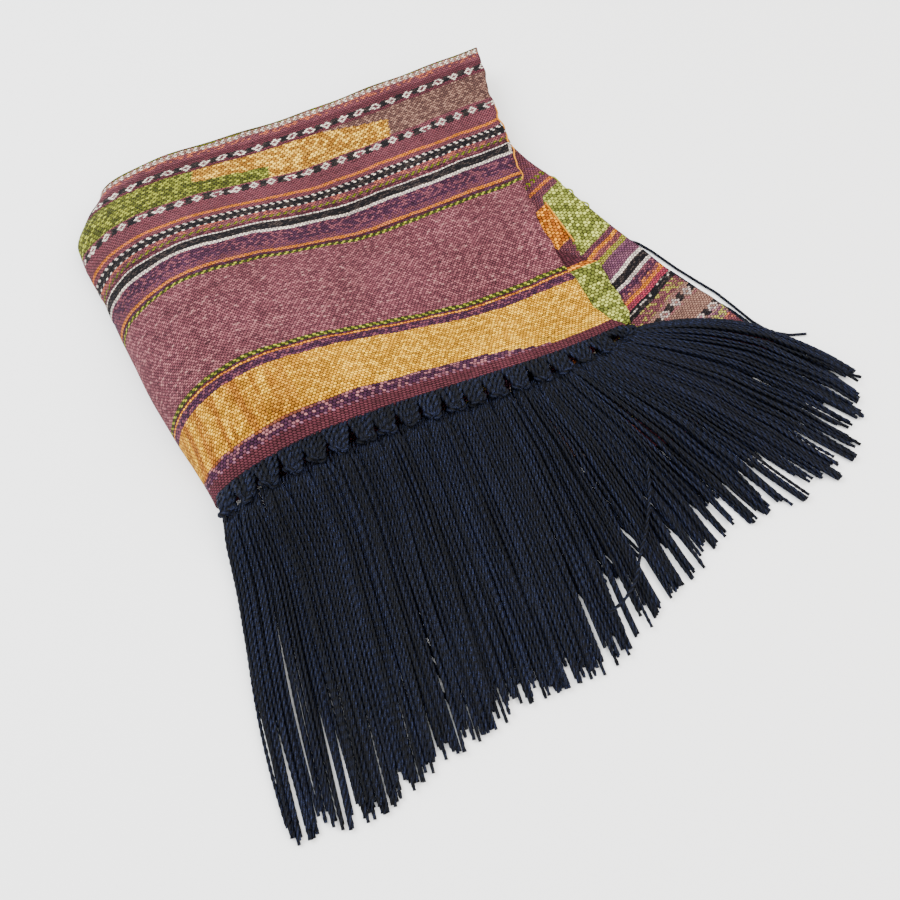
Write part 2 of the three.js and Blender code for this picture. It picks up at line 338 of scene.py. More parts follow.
# The folding path: each row has its place along every column, its inset, the way that its
# face looks, how far it has turned round a fold, and 0 for the outer passes or 1 for the inner
def foldingRows(setup, columns):
    shape = clothShape
    underShare = np.array([share if stretch == "under" else 0 for stretch, share in columns])
    startOf = shape["underHemRise"] * underShare
    endOf = track(farEnd, "share", "v", underShare)
    rows = []

    def flat(start, end, inset, face, step, band):
        count = max(2, int(round(abs(np.max(np.abs(np.asarray(end) - start))) / step)))
        for s in np.linspace(0, 1, count + 1):
            rows.append({"v": mix(start, end, s) + 0 * underShare, "inset": inset,
                         "face": face, "along": 0, "band": band})

    def fold(at, inset, away, band):
        for i in range(1, setup["foldSteps"]):
            turn = i / setup["foldSteps"] * math.pi
            reach = away * shape["pitch"] * math.sin(turn) / 2
            rows.append({"v": at + reach + 0 * underShare,
                         "inset": inset + shape["pitch"] * (1 - math.cos(turn)) / 2,
                         "face": -away * math.cos(turn), "along": math.sin(turn), "band": band})

    back, inner, front = shape["backFold"], shape["innerBackFold"], shape["frontFold"]
    pitch, fine, coarse = shape["pitch"], setup["fineStep"], setup["coarseStep"]
    fineFrom, reach = setup["fineFrom"], shape["frontReach"]
    flat(startOf, back, 0, -1, fine, 0)
    fold(back, 0, 1, 0)
    flat(back, front, pitch, 1, coarse, 0)
    fold(front, pitch, -1, 0)
    flat(front, inner, 2 * pitch, -1, coarse, 0)
    fold(inner, 2 * pitch, 1, 1)
    flat(inner, fineFrom + 4, 3 * pitch, 1, coarse, 1)
    flat(fineFrom, reach, 3 * pitch, 1, fine, 1)
    flat(reach - 2, endOf, 3 * pitch, 1, fine, 1)
    return {key: np.array([row[key] for row in rows]) for key in rows[0]}


def clothColumns(setup):
    hidden = setup["hiddenShare"]
    stretches = (("upper", np.linspace(0, 1, setup["upperColumns"])),
                 ("roll", np.linspace(0, 1, setup["rollColumns"])[1:]),
                 ("foot", setup["footShares"]),
                 ("under", np.linspace(0, hidden, setup["hiddenColumns"])[1:]),
                 ("under", np.linspace(hidden, 1, setup["shownColumns"])[1:]))
    return [(stretch, share) for stretch, shares in stretches for share in shares]


# The slanted stripes of the under half lie turned against those of the upper one. Its
# brocade ends on a line that starts at border and runs at a slope.
underPattern = {"turn": 24.0, "u": 281.0, "v": 34.0, "at": 158.0, "border": -5.5,
                "borderSlope": -0.445}


def underPlace(u, v):
    turn = math.radians(underPattern["turn"])
    du, dv = u - underPattern["u"], v - underPattern["v"]
    return (du * math.cos(turn) + dv * math.sin(turn),
            underPattern["at"] + du * math.sin(turn) - dv * math.cos(turn))


def ripples(b, t):
    return (0.5 * np.sin(b / 17.0 + 0.6 * np.sin(t / 23.0)) * np.sin(t / 29.0 + 1.3)
            + 0.35 * np.sin(b / 7.3 + t / 31.0) + 0.3 * np.sin(t / 9.1 + b / 41.0 + 0.7))


def raisedBands(t):
    rise = np.zeros_like(t)
    for first, last, height in clothRelief["bands"]:
        rise += height * smooth((t - first + 1) / 2) * smooth((last + 1 - t) / 2)
    return rise


# The sheet at one side of its middle: 1 and -1 are its faces, 0 the middle itself
def sheetAt(rows, columns, side, lift):
    half = clothShape["thickness"] / 2
    ahead, off = side * half * rows["along"], side * half * rows["face"]
    u, z = np.zeros_like(lift), np.zeros_like(lift)
    for j, (stretch, share) in enumerate(columns):
        raised = off + lift[:, j] * np.sign(off)
        u[:, j], z[:, j] = sectionPoint(
            stretch, share, rows["v"][:, j] + ahead, rows["inset"], raised)
    v = rows["v"] + ahead[:, None]
    front, back = clothShape["frontFold"], clothShape["backFold"]
    dip = track(backDip, "u", "dip", u) * smooth((v - front) / (back - front))
    uneven = clothRelief["backWander"] * np.sin(u / 11 + 1) * np.sin(u / 27)
    return np.stack([u, v - dip + uneven * smooth((v - 236) / 20), np.maximum(z, 0)], axis=-1)


def runTo(steps, axis):
    return np.insert(np.cumsum(steps, axis=axis), 0, 0, axis=axis)


# Both faces of the sheet and the four edges between them, as one closed mesh
def closedSheet(name, faces, place):
    total, count = place.shape[:2]
    points = toMetres(np.concatenate([face.reshape(-1, 3) for face in faces]))
    index = np.arange(total * count).reshape(total, count)
    below, turned = total * count, [0, 3, 2, 1]
    corners = (index[:-1, :-1], index[1:, :-1], index[1:, 1:], index[:-1, 1:])
    around = np.stack([corner.ravel() for corner in corners], axis=1)
    quads = [around, around[:, turned] + below]
    for edge, isTurned in ((index[:, 0], False), (index[:, -1], True),
                           (index[0], True), (index[-1], False)):
        near, far = edge[:-1], edge[1:]
        wall = np.stack([near, near + below, far + below, far], axis=1)
        quads.append(wall[:, turned] if isTurned else wall)
    mesh = bpy.data.meshes.new(name)
    mesh.from_pydata(points.tolist(), [], np.concatenate(quads).tolist())
    layer = mesh.attributes.new("clothPlace", "FLOAT_VECTOR", "POINT")
    both = np.concatenate([place.reshape(-1, 3)] * 2) * np.array([mm, mm, 1])
    layer.data.foreach_set("vector", both.astype(np.float32).ravel())
    mesh.shade_smooth()
    mesh.update()
    return placed(name, mesh)


def makeCloth():
    columns = clothColumns(clothMesh)
    rows = foldingRows(clothMesh, columns)
    middle = sheetAt(rows, columns, 0, np.zeros(rows["v"].shape))
    b = runTo(np.linalg.norm(np.diff(middle, axis=1), axis=2), 1)
    warpwise = np.linalg.norm(np.diff(middle, axis=0), axis=2)
    top = (rows["inset"] < 0.1)[:, None]
    inner = (rows["band"] == 1)[:, None]
    level = (np.abs(rows["face"]) > 0.99)[:, None]
    t = np.where(top, rows["v"], runTo(warpwise, 0))

    # The pattern's places: 0 on the outer passes, 1 on the under half and 2 where hidden
    isUnder = np.array([stretch == "under" for stretch, share in columns])
    under, hidden = inner & isUnder, inner & ~isUnder
    turnedB, turnedT = underPlace(middle[..., 0], middle[..., 1])
    place = np.stack([np.where(under, turnedB, b),
                      np.where(under, turnedT, np.where(hidden, middle[..., 1], t)),
                      under + 2 * hidden], axis=-1)

    near = smooth((30 - middle[..., 1]) / 20) * inner
    free = np.where(top, 1.0, 0.35) * ~(isUnder & top) * (1 - near)
    lift = clothRelief["ripple"] * ripples(b, t) * level * smooth(b / 6) * free
    proud = raisedBands(t) * (top & ~isUnder) * level
    faces = [sheetAt(rows, columns, 1, proud - lift), sheetAt(rows, columns, -1, lift)]
    wander = np.sin(t[:, :1] / 5.1) + 0.6 * np.sin(t[:, :1] / 2.3 + 1)
    for points in faces:
        points[..., 0] += clothRelief["selvedgeWander"] * wander * np.exp(-b / 5) * level
    cloth = closedSheet("runnerCloth", faces, place)
    flatSize = (float(b[:, -1].mean()) * mm, float(warpwise.sum(axis=0).mean()) * mm)
    print("cloth", rows["v"].shape, "flat", flatSize)
    return cloth, flatSize


runnerCloth, flatSize = makeCloth()

print("stage: the weave")
# Pitches in millimetres; span is how far from the hem the stripes are listed
weaveSetup = {
    "fine": {"Warp Pitch": 2.4, "Pick Pitch": 1.3},
    "brocade": {"Warp Pitch": 3.2, "Pick Pitch": 2.1},
    "depth": 1.0,
    "span": 262.0,
}
yarns = {
    "mauve": (112, 63, 70),
    "mauveLight": (147, 98, 99),
    "mauveDark": (72, 32, 41),
    "maroon": (91, 46, 53),
    "maroonDark": (72, 33, 42),
    "purple": (67, 36, 58),
    "navy": (37, 25, 44),
    "lilac": (116, 76, 92),
    "gold": (205, 149, 24),
    "goldLight": (222, 175, 44),
    "rust": (146, 82, 26),
    "orange": (195, 116, 28),
    "peach": (172, 93, 53),
    "green": (96, 104, 15),
    "greenDark": (48, 55, 14),
    "greenLight": (141, 148, 37),
    "pink": (152, 50, 70),
    "slubPink": (163, 117, 113),
    "brown": (95, 68, 60),
    "brownLight": (140, 108, 91),
    "white": (206, 199, 182),
    "ringGrey": (168, 156, 146),
    "black": (21, 19, 23),
    "blackBrown": (50, 43, 40),
    "leafDark": (74, 82, 22),
    "leafLight": (122, 130, 42),
    "limeDark": (104, 116, 40),
    "limeLight": (160, 172, 76),
    "strawDark": (164, 112, 28),
    "strawLight": (204, 164, 58),
    "amberDark": (179, 98, 20),
    "amberLight": (218, 142, 37),
}

# Where each stripe starts, in millimetres from the hem, its yarn, the second one mixed in
# at random and that one's share. A share of 1 is every other bead instead.
upperStripes = (
    (0, "maroon", "maroonDark", 0.5),
    (8.8, "lilac", "maroon", 1),
    (10.0, "purple", "mauveLight", 0.4),
    (15, "gold", "goldLight", 0.5),
    (45, "purple", "mauve", 0.4),
    (49.6, "orange", "gold", 0.4),
    (51.2, "mauveDark", "purple", 0.5),
    (53.2, "greenLight", "greenDark", 1),
    (55.6, "mauve", "mauveLight", 0.2),
    (127.2, "greenLight", "greenDark", 1),
    (129.8, "mauveDark", "purple", 0.5),
    (132.8, "orange", "mauve", 0.3),
    (134.6, "mauve", "purple", 0.5),
    (140, "purple", "mauve", 0.45),
    (152.2, "white", "white", 0),
    (154.0, "black", "blackBrown", 0.5),
    (160.6, "white", "white", 0),
    (162.4, "mauveDark", "mauve", 0.4),
    (165.6, "green", "brown", 1),
    (168, "mauve", "peach", 0.3),
    (172.2, "white", "black", 1),
    (173.8, "black", "blackBrown", 0.5),
    (177.4, "black", "white", 1),
    (179.2, "mauve", "maroon", 0.5),
    (184, "orange", "peach", 0.6),
    (187, "mauve", "maroon", 0.5),
    (207, "brown", "brownLight", 0.35),
    (234, "maroon", "mauveDark", 0.5),
    (246, "mauve", "maroon", 0.4),
    (249.5, "mauve", "peach", 0.4),
    (252.8, "brownLight", "white", 1),
    (256.5, "green", "mauve", 0.5),
)
underStripes = (
    (0, "mauve", "purple", 0.4),
    (63, "green", "mauve", 1),
    (67, "mauve", "purple", 0.5),
    (71, "orange", "peach", 1),
    (74, "mauve", "navy", 0.4),
    (129, "mauve", "purple", 0.5),
    (132.6, "orange", "gold", 0.4),
    (134.8, "mauve", "peach", 0.3),
    (139, "greenLight", "mauve", 0.35),
    (142.6, "lilac", "purple", 0.45),
    (153.3, "white", "white", 0),
    (155.2, "black", "blackBrown", 0.5),
    (161, "white", "white", 0),
    (162.8, "purple", "mauve", 0.45),
    (168, "mauve", "orange", 0.4),
    (171.4, "orange", "peach", 0.6),
    (173.6, "pink", "maroon", 0.5),
    (178, "black", "white", 0.3),
    (179.6, "black", "blackBrown", 0.5),
    (182.4, "mauve", "greenLight", 0.35),
    (190.5, "brownLight", "mauve", 0.5),
    (201, "brownLight", "brown", 0.4),
    (213, "brownLight", "lilac", 0.5),
    (220, "lilac", "greenLight", 0.4),
    (226, "mauve", "peach", 0.5),
    (232, "maroon", "maroonDark", 0.5),
)
# Bands and tops are from the hem, widths and steps from the selvedge
brocadeSetup = {
    "band": (207.0, 234.0),
    "green": (168.0, 330.0),
    "greenTop": 218.0,
    "greenStep": (221.0, 18.0),
    "greenLean": 0.05,
    "gold": (80.0, 224.0),
    "goldTop": 234.5,
    "goldTaper": (135.0, -0.2),
    "greenUnder": (79.0, 129.0),
    "orangeUnder": (84.0, 115.0),
    "orangeWidth": 26.0,
    "sliver": (54.0, 57.5),
    "sliverWidth": 32.0,
}
goldStripe = {
    "span": (14.0, 45.0),
    "rustAndShadeAcross": (150.0, 240.0),
    "purple": (9.0, 15.1),
    "purpleAcross": (35.0, 85.0),
    "purpleTop": 9.4,
    "purpleRise": 5.6,
}
diamondRows = {
    "upper": (202.0, 239.0),
    "under": (196.5, 216.0),
    "repeat": 12.6,
    "halfHeight": 2.9,
    "secondFrom": 220.0,
    "secondShift": 0.37,
    "ring": (0.45, 1.16),
    "dash": (0.24, 0.7),
    "dashHeight": 1.05,
}
hairpinLoop = {"span": (152.5, 162.4), "width": 2.2}
slubField = {"span": (56.0, 127.0), "rarest": 0.972, "strength": 0.4}

# Noise over the cloth: its stretch across, along and from half to half, scale and detail
clothNoise = {
    "sway": ((1, 1, 40), 0.045, 2),
    "jitter": ((1, 0.3, 40), 0.42, 2),
    "rustAndShadeStreaks": ((0.5, 0.06, 20), 0.35, 2),
    "weftStreaks": ((0.05, 1.6, 30), 1.0, 3),
    "patches": ((1, 1, 30), 0.02, 2),
    "slits": ((0.16, 0.9, 30), 1.0, 1),
    "fibres": ((1, 5, 30), 2.2, 2),
}

# What multiplies the yarns' colours: pairs are the darkest and the lightest
weaveTones = {
    "bead": ((0.66, 0.63, 0.68), (1.5, 1.48, 1.46)),
    "streaks": ((0.8, 0.78, 0.8), (1.12, 1.1, 1.08)),
    "patches": ((0.88, 0.86, 0.86), (1.1, 1.08, 1.1)),
    # painted shade: how dark the colour turns where the weave sinks between beads
    "gap": (0.14, 0.1, 0.14),
    "slit": (0.25, 0.22, 0.24),
}


def yarn(name):
    return linear(*yarns[name])


def yarnRamp(tree, value, stripes, column):
    ramp = addNode(tree, "ShaderNodeValToRGB")
    ramp.color_ramp.interpolation = "CONSTANT"
    for k, stripe in enumerate(stripes):
        if k < 2:
            element = ramp.color_ramp.elements[k]
        else:
            element = ramp.color_ramp.elements.new(1)
        element.position = stripe[0] / weaveSetup["span"]
        chosen = stripe[column]
        element.color = yarn(chosen) if column < 3 else (chosen, chosen, chosen, 1)
    plug(tree, ramp.inputs[0], calc(tree, "DIVIDE", value, weaveSetup["span"]))
    return ramp.outputs[0]


# Beads of a plain weave in brick order: each one's height, random number, parity and middle
def weaveGroup():
    tree = bpy.data.node_groups.new("handWeave", "ShaderNodeTree")
    for name in ("Across", "Along", "Warp Pitch", "Pick Pitch"):
        tree.interface.new_socket(name, in_out="INPUT", socket_type="NodeSocketFloat")
    for name in ("Height", "Bead", "Parity", "Across", "Along"):
        tree.interface.new_socket(name, in_out="OUTPUT", socket_type="NodeSocketFloat")
    given = addNode(tree, "NodeGroupInput").outputs
    out = addNode(tree, "NodeGroupOutput").inputs
    pick = calc(tree, "DIVIDE", given["Along"], given["Pick Pitch"])
    row = calc(tree, "FLOOR", pick)
    shift = times(tree, calc(tree, "PINGPONG", row, 1.0), 0.5)
    warp = calc(tree, "ADD", calc(tree, "DIVIDE", given["Across"], given["Warp Pitch"]), shift)
    column = calc(tree, "FLOOR", warp)
    bulges = []
    for place, power in ((warp, 2.4), (pick, 2.2)):
        doubled = times(tree, calc(tree, "FRACT", place), 2.0)
        fromMiddle = calc(tree, "SUBTRACT", doubled, 1.0)
        bulges.append(calc(tree, "POWER", calc(tree, "ABSOLUTE", fromMiddle), power))
    fallen = calc(tree, "MULTIPLY_ADD", bulges[1], 0.7, bulges[0])
    plug(tree, out["Height"], calc(tree, "SQRT", calc(tree, "SUBTRACT", 1.0, fallen, clamp=True)))
    cell = wired(tree, "ShaderNodeCombineXYZ", {0: column, 1: row})
    noise = wired(tree, "ShaderNodeTexWhiteNoise", {"Vector": cell.outputs[0]},
                  noise_dimensions="3D")
    plug(tree, out["Bead"], noise.outputs["Value"])
    plug(tree, out["Parity"], calc(tree, "PINGPONG", column, 1.0))
    middle = calc(tree, "SUBTRACT", calc(tree, "ADD", column, 0.5), shift)
    plug(tree, out["Across"], times(tree, middle, given["Warp Pitch"]))
    middle = calc(tree, "ADD", row, 0.5)
    plug(tree, out["Along"], times(tree, middle, given["Pick Pitch"]))
    return tree


handWeave = weaveGroup()


def clothNoiseAt(tree, at, name):
    stretch, scale, detail = clothNoise[name]
    spot = addNode(tree, "ShaderNodeCombineXYZ")
    for socket, value, by in zip(spot.inputs, (at["b"], at["t"], at["half"]), stretch):
        plug(tree, socket, times(tree, value, by))
    return noiseAt(tree, spot.outputs[0], scale, detail)


# What the pattern is placed by: b from the selvedge and t from the hem in millimetres,
# which half of the cloth it is, and the weave's beads
def clothPlaces(tree):
    place = attribute(tree, "clothPlace")["Vector"]
    b, t, half = wired(tree, "ShaderNodeSeparateXYZ", {0: place}).outputs
    at = {"b": times(tree, b, 1000.0), "t": times(tree, t, 1000.0), "half": half}
    at["straightT"] = at["t"]
    at["isUpper"] = calc(tree, "LESS_THAN", at["half"], 0.5)
    at["isUnder"] = inside(tree, at["half"], 0.5, 1.5)
    at["isHidden"] = calc(tree, "GREATER_THAN", at["half"], 1.5)
    sway = calc(tree, "SUBTRACT", clothNoiseAt(tree, at, "sway"), 0.5)
    jitter = calc(tree, "SUBTRACT", clothNoiseAt(tree, at, "jitter"), 0.5)
    wobble = calc(tree, "MULTIPLY_ADD", jitter, 1.1, times(tree, sway, 3.2))
    steady = between(tree, at["t"], 4.0, 24.0)
    at["t"] = calc(tree, "MULTIPLY_ADD", wobble, steady, at["t"])
    for name in ("fine", "brocade"):
        places = {"Across": at["b"], "Along": at["t"]}
        at[name] = wired(tree, "ShaderNodeGroup", places | weaveSetup[name],
                         node_tree=handWeave).outputs
    at["beadB"], at["beadT"] = at["fine"]["Across"], at["fine"]["Along"]
    at["beadTone"] = between(tree, at["brocade"]["Bead"], 0.15, 0.95)
    return at


def stripeColour(tree, at):
    shades = []
    for column in (1, 2, 3):
        upper = yarnRamp(tree, at["beadT"], upperStripes, column)
        under = yarnRamp(tree, at["beadT"], underStripes, column)
        shades.append(blendColour(tree, at["isUnder"], upper, under))
    first, second, mixed = shades
    heather = between(tree, at["fine"]["Bead"], 0.45, 0.8)
    heather = calc(tree, "MULTIPLY", heather, times(tree, mixed, 1.7), clamp=True)
    checked = calc(tree, "GREATER_THAN", mixed, 0.8)
    share = blendValue(tree, checked, heather, at["fine"]["Parity"])
    colour = blendColour(tree, share, first, second)
    return blendColour(tree, at["isHidden"], colour, yarn("maroonDark"))


# Blocks of gold and green on the upper half, green and orange on the under one, and the
# green edge of the pass below the top one
def brocadeMasks(tree, at, setup):
    beadB, beadT = at["beadB"], at["beadT"]
    stepAt, step = setup["greenStep"]
    greenTop = calc(tree, "GREATER_THAN", beadB, stepAt)
    greenTop = calc(tree, "MULTIPLY_ADD", greenTop, step, setup["greenTop"])
    past = calc(tree, "SUBTRACT", beadB, setup["green"][0])
    greenTop = calc(tree, "MULTIPLY_ADD", past, setup["greenLean"], greenTop)
    taperFrom, taper = setup["goldTaper"]
    short = calc(tree, "MAXIMUM", calc(tree, "SUBTRACT", taperFrom, beadB), 0.0)
    goldTop = calc(tree, "MULTIPLY_ADD", short, taper, setup["goldTop"])
    inBand = times(tree, inside(tree, beadT, *setup["band"]), at["isUpper"])
    green = times(tree, inside(tree, beadB, *setup["green"]),
                  calc(tree, "LESS_THAN", beadT, greenTop), inBand)
    gold = times(tree, inside(tree, beadB, *setup["gold"]),
                 calc(tree, "LESS_THAN", beadT, goldTop), inBand,
                 calc(tree, "SUBTRACT", 1.0, green))
    slope = underPattern["borderSlope"]
    start = underPattern["border"] - slope * underPattern["at"]
    border = calc(tree, "MULTIPLY_ADD", beadT, slope, start)
    greenUnder = times(tree, inside(tree, beadT, *setup["greenUnder"]),
                       calc(tree, "GREATER_THAN", beadB, border), at["isUnder"])
    beside = inside(tree, calc(tree, "SUBTRACT", border, beadB), 0.0, setup["orangeWidth"])
    orangeUnder = times(tree, inside(tree, beadT, *setup["orangeUnder"]), beside, at["isUnder"])
    nearEdge = calc(tree, "LESS_THAN", at["b"], setup["sliverWidth"])
    nearEdge = times(tree, at["isHidden"], nearEdge)
    sliver = times(tree, inside(tree, at["straightT"], 0.0, setup["sliver"][0]), nearEdge)
    sliverLine = times(tree, inside(tree, at["straightT"], *setup["sliver"]), nearEdge)
    green = calc(tree, "MAXIMUM", green, calc(tree, "MAXIMUM", greenUnder, sliver))
    return green, gold, calc(tree, "MAXIMUM", orangeUnder, sliverLine)


def brocadeColour(tree, at, colour, masks):
    leaf, lime, straw, amber = (
        blendColour(tree, at["beadTone"], yarn(name + "Dark"), yarn(name + "Light"))
        for name in ("leaf", "lime", "straw", "amber"))
    green = blendColour(tree, at["isUpper"], lime, leaf)
    for mask, look in zip(masks, (green, straw, amber)):
        colour = blendColour(tree, mask, colour, look)
    return colour


# The purple under the gold stripe gives way to it towards the selvedge, and the gold turns to rust
# in streaks towards the roll:
# partly the yarn's own orange tinge, partly painted shade that darkens the gold on the roll's side
def goldStripeColour(tree, at, colour, setup):
    faded = between(tree, at["b"], *setup["purpleAcross"])
    top = calc(tree, "MULTIPLY_ADD", faded, setup["purpleRise"], setup["purpleTop"])
    creep = times(tree, calc(tree, "GREATER_THAN", at["beadT"], top),
                  inside(tree, at["beadT"], *setup["purple"]), at["isUpper"])
    golds = blendColour(tree, at["beadTone"], yarn("gold"), yarn("goldLight"))
    colour = blendColour(tree, creep, colour, golds)
    # Partly real orange tinge, partly painted shade: rust streaks grow stronger towards the roll
    rustAndShade = between(tree, clothNoiseAt(tree, at, "rustAndShadeStreaks"), 0.36, 0.6, 0.8)
    rustAndShade = times(tree, rustAndShade, between(tree, at["b"], *setup["rustAndShadeAcross"]),
                 inside(tree, at["beadT"], *setup["span"]), at["isUpper"])
    return blendColour(tree, rustAndShade, colour, yarn("rust"))


# Rows of white beads in rings, with black dashes between them, and the white lines that
# meet round the black stripe's end at the selvedge
def ringColour(tree, at, colour, setup):
    fars = []
    for name in ("upper", "under"):
        gaps = [calc(tree, "ABSOLUTE", calc(tree, "SUBTRACT", at["beadT"], row))
                for row in setup[name]]
        fars.append(calc(tree, "DIVIDE", calc(tree, "MINIMUM", *gaps), setup["halfHeight"]))
    far = blendValue(tree, at["isUnder"], *fars)
    second = calc(tree, "GREATER_THAN", at["beadT"], setup["secondFrom"])
    shifted = calc(tree, "ADD", calc(tree, "DIVIDE", at["beadB"], setup["repeat"]),
                   times(tree, second, setup["secondShift"]))
    along = calc(tree, "SUBTRACT", calc(tree, "FRACT", shifted), 0.3)
    aside = calc(tree, "ABSOLUTE", times(tree, along, setup["repeat"] / 4))
    ring = inside(tree, calc(tree, "ADD", aside, far), *setup["ring"])
    dash = times(tree, inside(tree, along, *setup["dash"]),
                 calc(tree, "LESS_THAN", far, setup["dashHeight"]))
    blacks = blendColour(tree, at["beadTone"], yarn("black"), yarn("blackBrown"))
    whites = blendColour(tree, at["isUnder"], yarn("white"), yarn("ringGrey"))
    colour = blendColour(tree, dash, colour, blacks)
    colour = blendColour(tree, ring, colour, whites)
    hairpin = times(tree, inside(tree, at["beadT"], *hairpinLoop["span"]),
                    calc(tree, "LESS_THAN", at["b"], hairpinLoop["width"]), at["isUpper"])
    return blendColour(tree, hairpin, colour, yarn("white"))


def tinted(tree, colour, factor, low, high):
    tint = blendColour(tree, factor, (*low, 1), (*high, 1))
    return blendColour(tree, 1.0, colour, tint, "MULTIPLY")


def darkened(tree, colour, factor, by):
    dark = blendColour(tree, 1.0, colour, (*by, 1), "MULTIPLY")
    return blendColour(tree, factor, colour, dark)


# Each bead its own tone, painted shade in the gaps between them, streaks along the weft, slubs and
# small slits
def yarnShading(tree, at, colour, height, bead):
    colour = tinted(tree, colour, bead, *weaveTones["bead"])
    # Painted shade: darker where the weave sinks between the beads
    gap = calc(tree, "SUBTRACT", 1.0, between(tree, height, 0.25, 0.96))
    colour = darkened(tree, colour, gap, weaveTones["gap"])
    streaked = between(tree, clothNoiseAt(tree, at, "weftStreaks"), 0.3, 0.7)
    colour = tinted(tree, colour, streaked, *weaveTones["streaks"])
    patchy = between(tree, clothNoiseAt(tree, at, "patches"), 0.3, 0.7)
    colour = tinted(tree, colour, patchy, *weaveTones["patches"])
    slub = calc(tree, "GREATER_THAN", at["fine"]["Bead"], slubField["rarest"])
    slub = times(tree, slub, inside(tree, at["beadT"], *slubField["span"]), at["isUpper"],
                 slubField["strength"])
    colour = blendColour(tree, slub, colour, yarn("slubPink"))
    slit = between(tree, clothNoiseAt(tree, at, "slits"), 0.64, 0.7, 0.8)
    return darkened(tree, colour, slit, weaveTones["slit"])


def clothMaterial():
    material, tree, shader = newMaterial("handwovenStripes")
    at = clothPlaces(tree)
    masks = brocadeMasks(tree, at, brocadeSetup)
    colour = brocadeColour(tree, at, stripeColour(tree, at), masks)
    colour = goldStripeColour(tree, at, colour, goldStripe)
    colour = ringColour(tree, at, colour, diamondRows)
    green, gold, orange = masks
    raised = calc(tree, "MAXIMUM", calc(tree, "MAXIMUM", green, gold), orange)
    height, bead = (
        blendValue(tree, raised, at["fine"][name], at["brocade"][name])
        for name in ("Height", "Bead"))
    dress(tree, shader, yarnShading(tree, at, colour, height, bead), 0.88, 0.1)
    fibres = clothNoiseAt(tree, at, "fibres")
    rough = calc(tree, "MULTIPLY_ADD", fibres, 0.25, height)
    addBump(tree, shader, rough, 1.0, weaveSetup["depth"] * mm)
    return material


runnerCloth.data.materials.append(clothMaterial())

print("stage: the fringe")
cordSetup = {
    "radius": 1.1,
    "step": 2.25,
    "turnLength": 9.0,
    "sides": 6,
    "tassels": 19,
    "cordsEach": 26,
    "cordsEachInFan": 34,
    "cordsMoreAtEnd": (24, 14, 6),
    "locksEach": 5,
    "fanFrom": 205,
    "underTassels": 20,
    "underCordsEach": 12,
    "knotAt": 9.0,
    "knotSize": 1.35,
    "steepest": 0.5,
    "fanWidth": 270,
}
# The yarns of a head: where each leaves the hem in shares of the tassel, and its lift
headSetup = {
    "radius": 1.75,
    "step": 1.3,
    "turnLength": 8.0,
    "yarns": ((-0.44, 0.2), (-0.26, 1.1), (-0.09, 0.4), (0.09, 1.2), (0.26, 0.5), (0.44, 1.0)),
}
cordFan = {
    "rootU": (0, 40, 90, 140, 176, 200, 220, 238, 252, 264),
    "midU": (-19, 25, 76, 129, 168, 205, 242, 280, 308, 333),
    "midV": (-92, -94, -88, -87, -88, -82, -76, -69, -55, -27),
    "tipU": (-35, 8, 61, 116, 156, 205, 257, 316, 356, 377),
    "tipV": (-182, -189, -180, -175, -177, -161, -143, -142, -124, -86),
}
# How far the cords of a tassel vary: sways, waves and shifts in millimetres, the rest as
# shares of the cord or of the tassel
cordSpread = {
    "headShift": 0.5,
    "tasselSway": 0.8,
    "lockSway": 1.1,
    "wave": 1.0,
    "lockReach": 0.02,
    "reach": (0.985, 0.02),
    "longest": 1.02,
    "offset": 0.02,
    "gathered": (0.3, 0.75),
    "shorter": (0.1, 0.06),
}
underCord = {
    "length": 168,
    "firstShare": 0.12,
    "lastShare": 0.985,
    "sway": 1.4,
    "wave": 1.2,
    "clump": (0.9, 0.25),
    "stretch": (1.02, 0.022),
}
underFan = {"share": (0.1, 0.8, 1), "leanU": (0.22, 0.25, 0.36)}


def hemLine():
    points = [sectionPoint("upper", s, 0.0, 0.0, 0.0) for s in np.linspace(0, 1, 60)]
    points += [sectionPoint("roll", s, 0.0, 0.0, 0.0) for s in np.linspace(0, 1, 40)[1:]]
    line = np.array([(float(u), float(z)) for u, z in points])
    run = runTo(np.linalg.norm(np.diff(line, axis=0), axis=1), 0)
    return line, run


hem, hemRun = hemLine()
hemLength = hemRun[-1]


def onHem(s):
    return np.array([np.interp(s, hemRun, hem[:, 0]), np.interp(s, hemRun, hem[:, 1])])


# What a cord lies on, from the cloth of the under half and the cords beneath
def supportUnder(u, v, overCords):
    pitch, half = clothShape["pitch"], clothShape["thickness"] / 2
    leftU, _ = sectionPoint("under", 0.0, v, 3 * pitch, 0.0)
    rightU, lowZ = sectionPoint("under", 1.0, v, 3 * pitch, 0.0)
    share = (u - leftU) / (rightU - leftU)
    end = track(farEnd, "share", "v", share)
    onCloth = smooth((rightU + 6 - u) / 8) * smooth((v - end + 8) / 10) * (share > 0)
    return np.maximum(overCords, onCloth * (lowZ + half))


def fanAt(along):
    return cordSetup["fanWidth"] * (1 - along / hemLength)


def fanPlace(fanU, s):
    root = np.array([fanU, -2.0])
    tip, mid = (np.array([track(cordFan, "rootU", which + axis, fanU) for axis in "UV"])
                for which in ("tip", "mid"))
    pull = 2 * mid - (root + tip) / 2
    return mix(mix(root, pull, s), mix(pull, tip, s), s)


